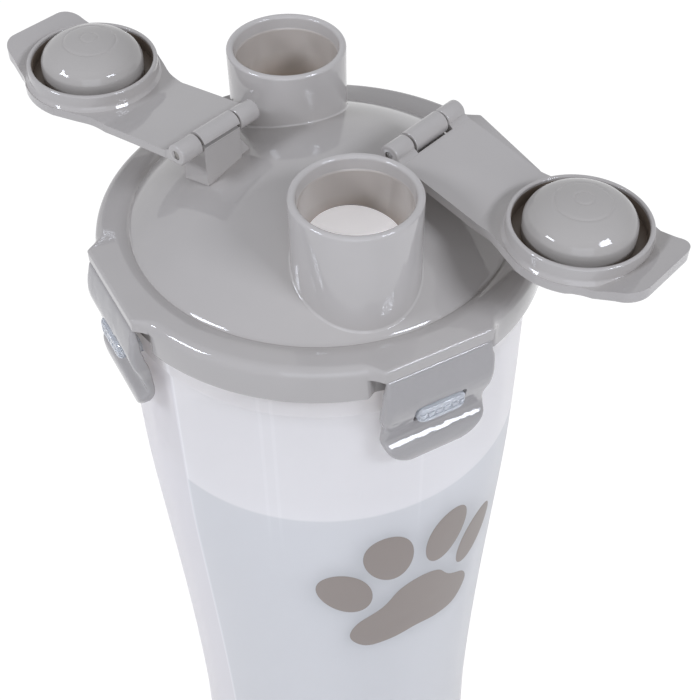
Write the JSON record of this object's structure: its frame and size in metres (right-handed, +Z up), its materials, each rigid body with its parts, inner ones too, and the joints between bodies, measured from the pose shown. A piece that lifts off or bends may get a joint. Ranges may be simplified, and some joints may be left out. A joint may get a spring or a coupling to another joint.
{
  "type": "dog water bottle",
  "caption": "Waisted see-through travel bottle for dogs, divided lengthways, with flip-capped spouts on a domed lid that snap tabs lock to the cup.",
  "frame": {"origin": "centre of the ring that the bottle stands on, on the cup's axis", "axes": "+Z up along the cup's axis; the cap hinges lie along X; the lid's parts repeat after half a turn about Z"},
  "size_m": [0.1068, 0.1557, 0.2521],
  "materials": {
    "cup_plastic": "clear tinted, polished mould",
    "divider_plastic": "clear tinted, polished mould",
    "lid_plastic": "warm grey, satin gloss",
    "tab_plastic": "warm grey, satin gloss",
    "plug_rubber": "warm grey silicone, slight sheen",
    "seal_rubber": "milky clear silicone",
    "pin_steel": "drawn wire"
  },
  "bodies": {
    "bottle": {"cup_body": "cup_plastic", "divider": "divider_plastic", "divider_seal": "seal_rubber", "lid": "lid_plastic", "lid_gasket": "seal_rubber", "hinge_pins": "pin_steel"},
    "front_cap": {"flip_cap_front": "lid_plastic", "spout_plug_front": "plug_rubber"},
    "back_cap": {"flip_cap_back": "lid_plastic", "spout_plug_back": "plug_rubber"},
    "tab_1": {"lock_tab_1": "tab_plastic"},
    "tab_2": {"lock_tab_2": "tab_plastic"},
    "tab_3": {"lock_tab_3": "tab_plastic"},
    "tab_4": {"lock_tab_4": "tab_plastic"}
  },
  "joints": [
    {"name": "front_cap_hinge", "type": "hinge", "parent": "bottle", "child": "front_cap", "pos_m": [-0.0144, 0.0165, 0.24555], "axis": [1, 0, 0], "range_deg": [-8, 177]},
    {"name": "back_cap_hinge", "type": "hinge", "parent": "bottle", "child": "back_cap", "pos_m": [0.0144, -0.0165, 0.24555], "axis": [-1, 0, 0], "range_deg": [-4.5, 180.5]},
    {"name": "tab_1_fold", "type": "hinge", "parent": "bottle", "child": "tab_1", "pos_m": [-0.01634, -0.04747, 0.2217], "axis": [-0.9455, 0.3256, 0], "range_deg": [0, 100]},
    {"name": "tab_2_fold", "type": "hinge", "parent": "bottle", "child": "tab_2", "pos_m": [0.04747, -0.01634, 0.2217], "axis": [-0.3256, -0.9455, 0], "range_deg": [0, 100]},
    {"name": "tab_3_fold", "type": "hinge", "parent": "bottle", "child": "tab_3", "pos_m": [0.01634, 0.04747, 0.2217], "axis": [0.9455, -0.3256, 0], "range_deg": [0, 100]},
    {"name": "tab_4_fold", "type": "hinge", "parent": "bottle", "child": "tab_4", "pos_m": [-0.04747, 0.01634, 0.2217], "axis": [0.3256, 0.9455, 0], "range_deg": [0, 100]}
  ]
}
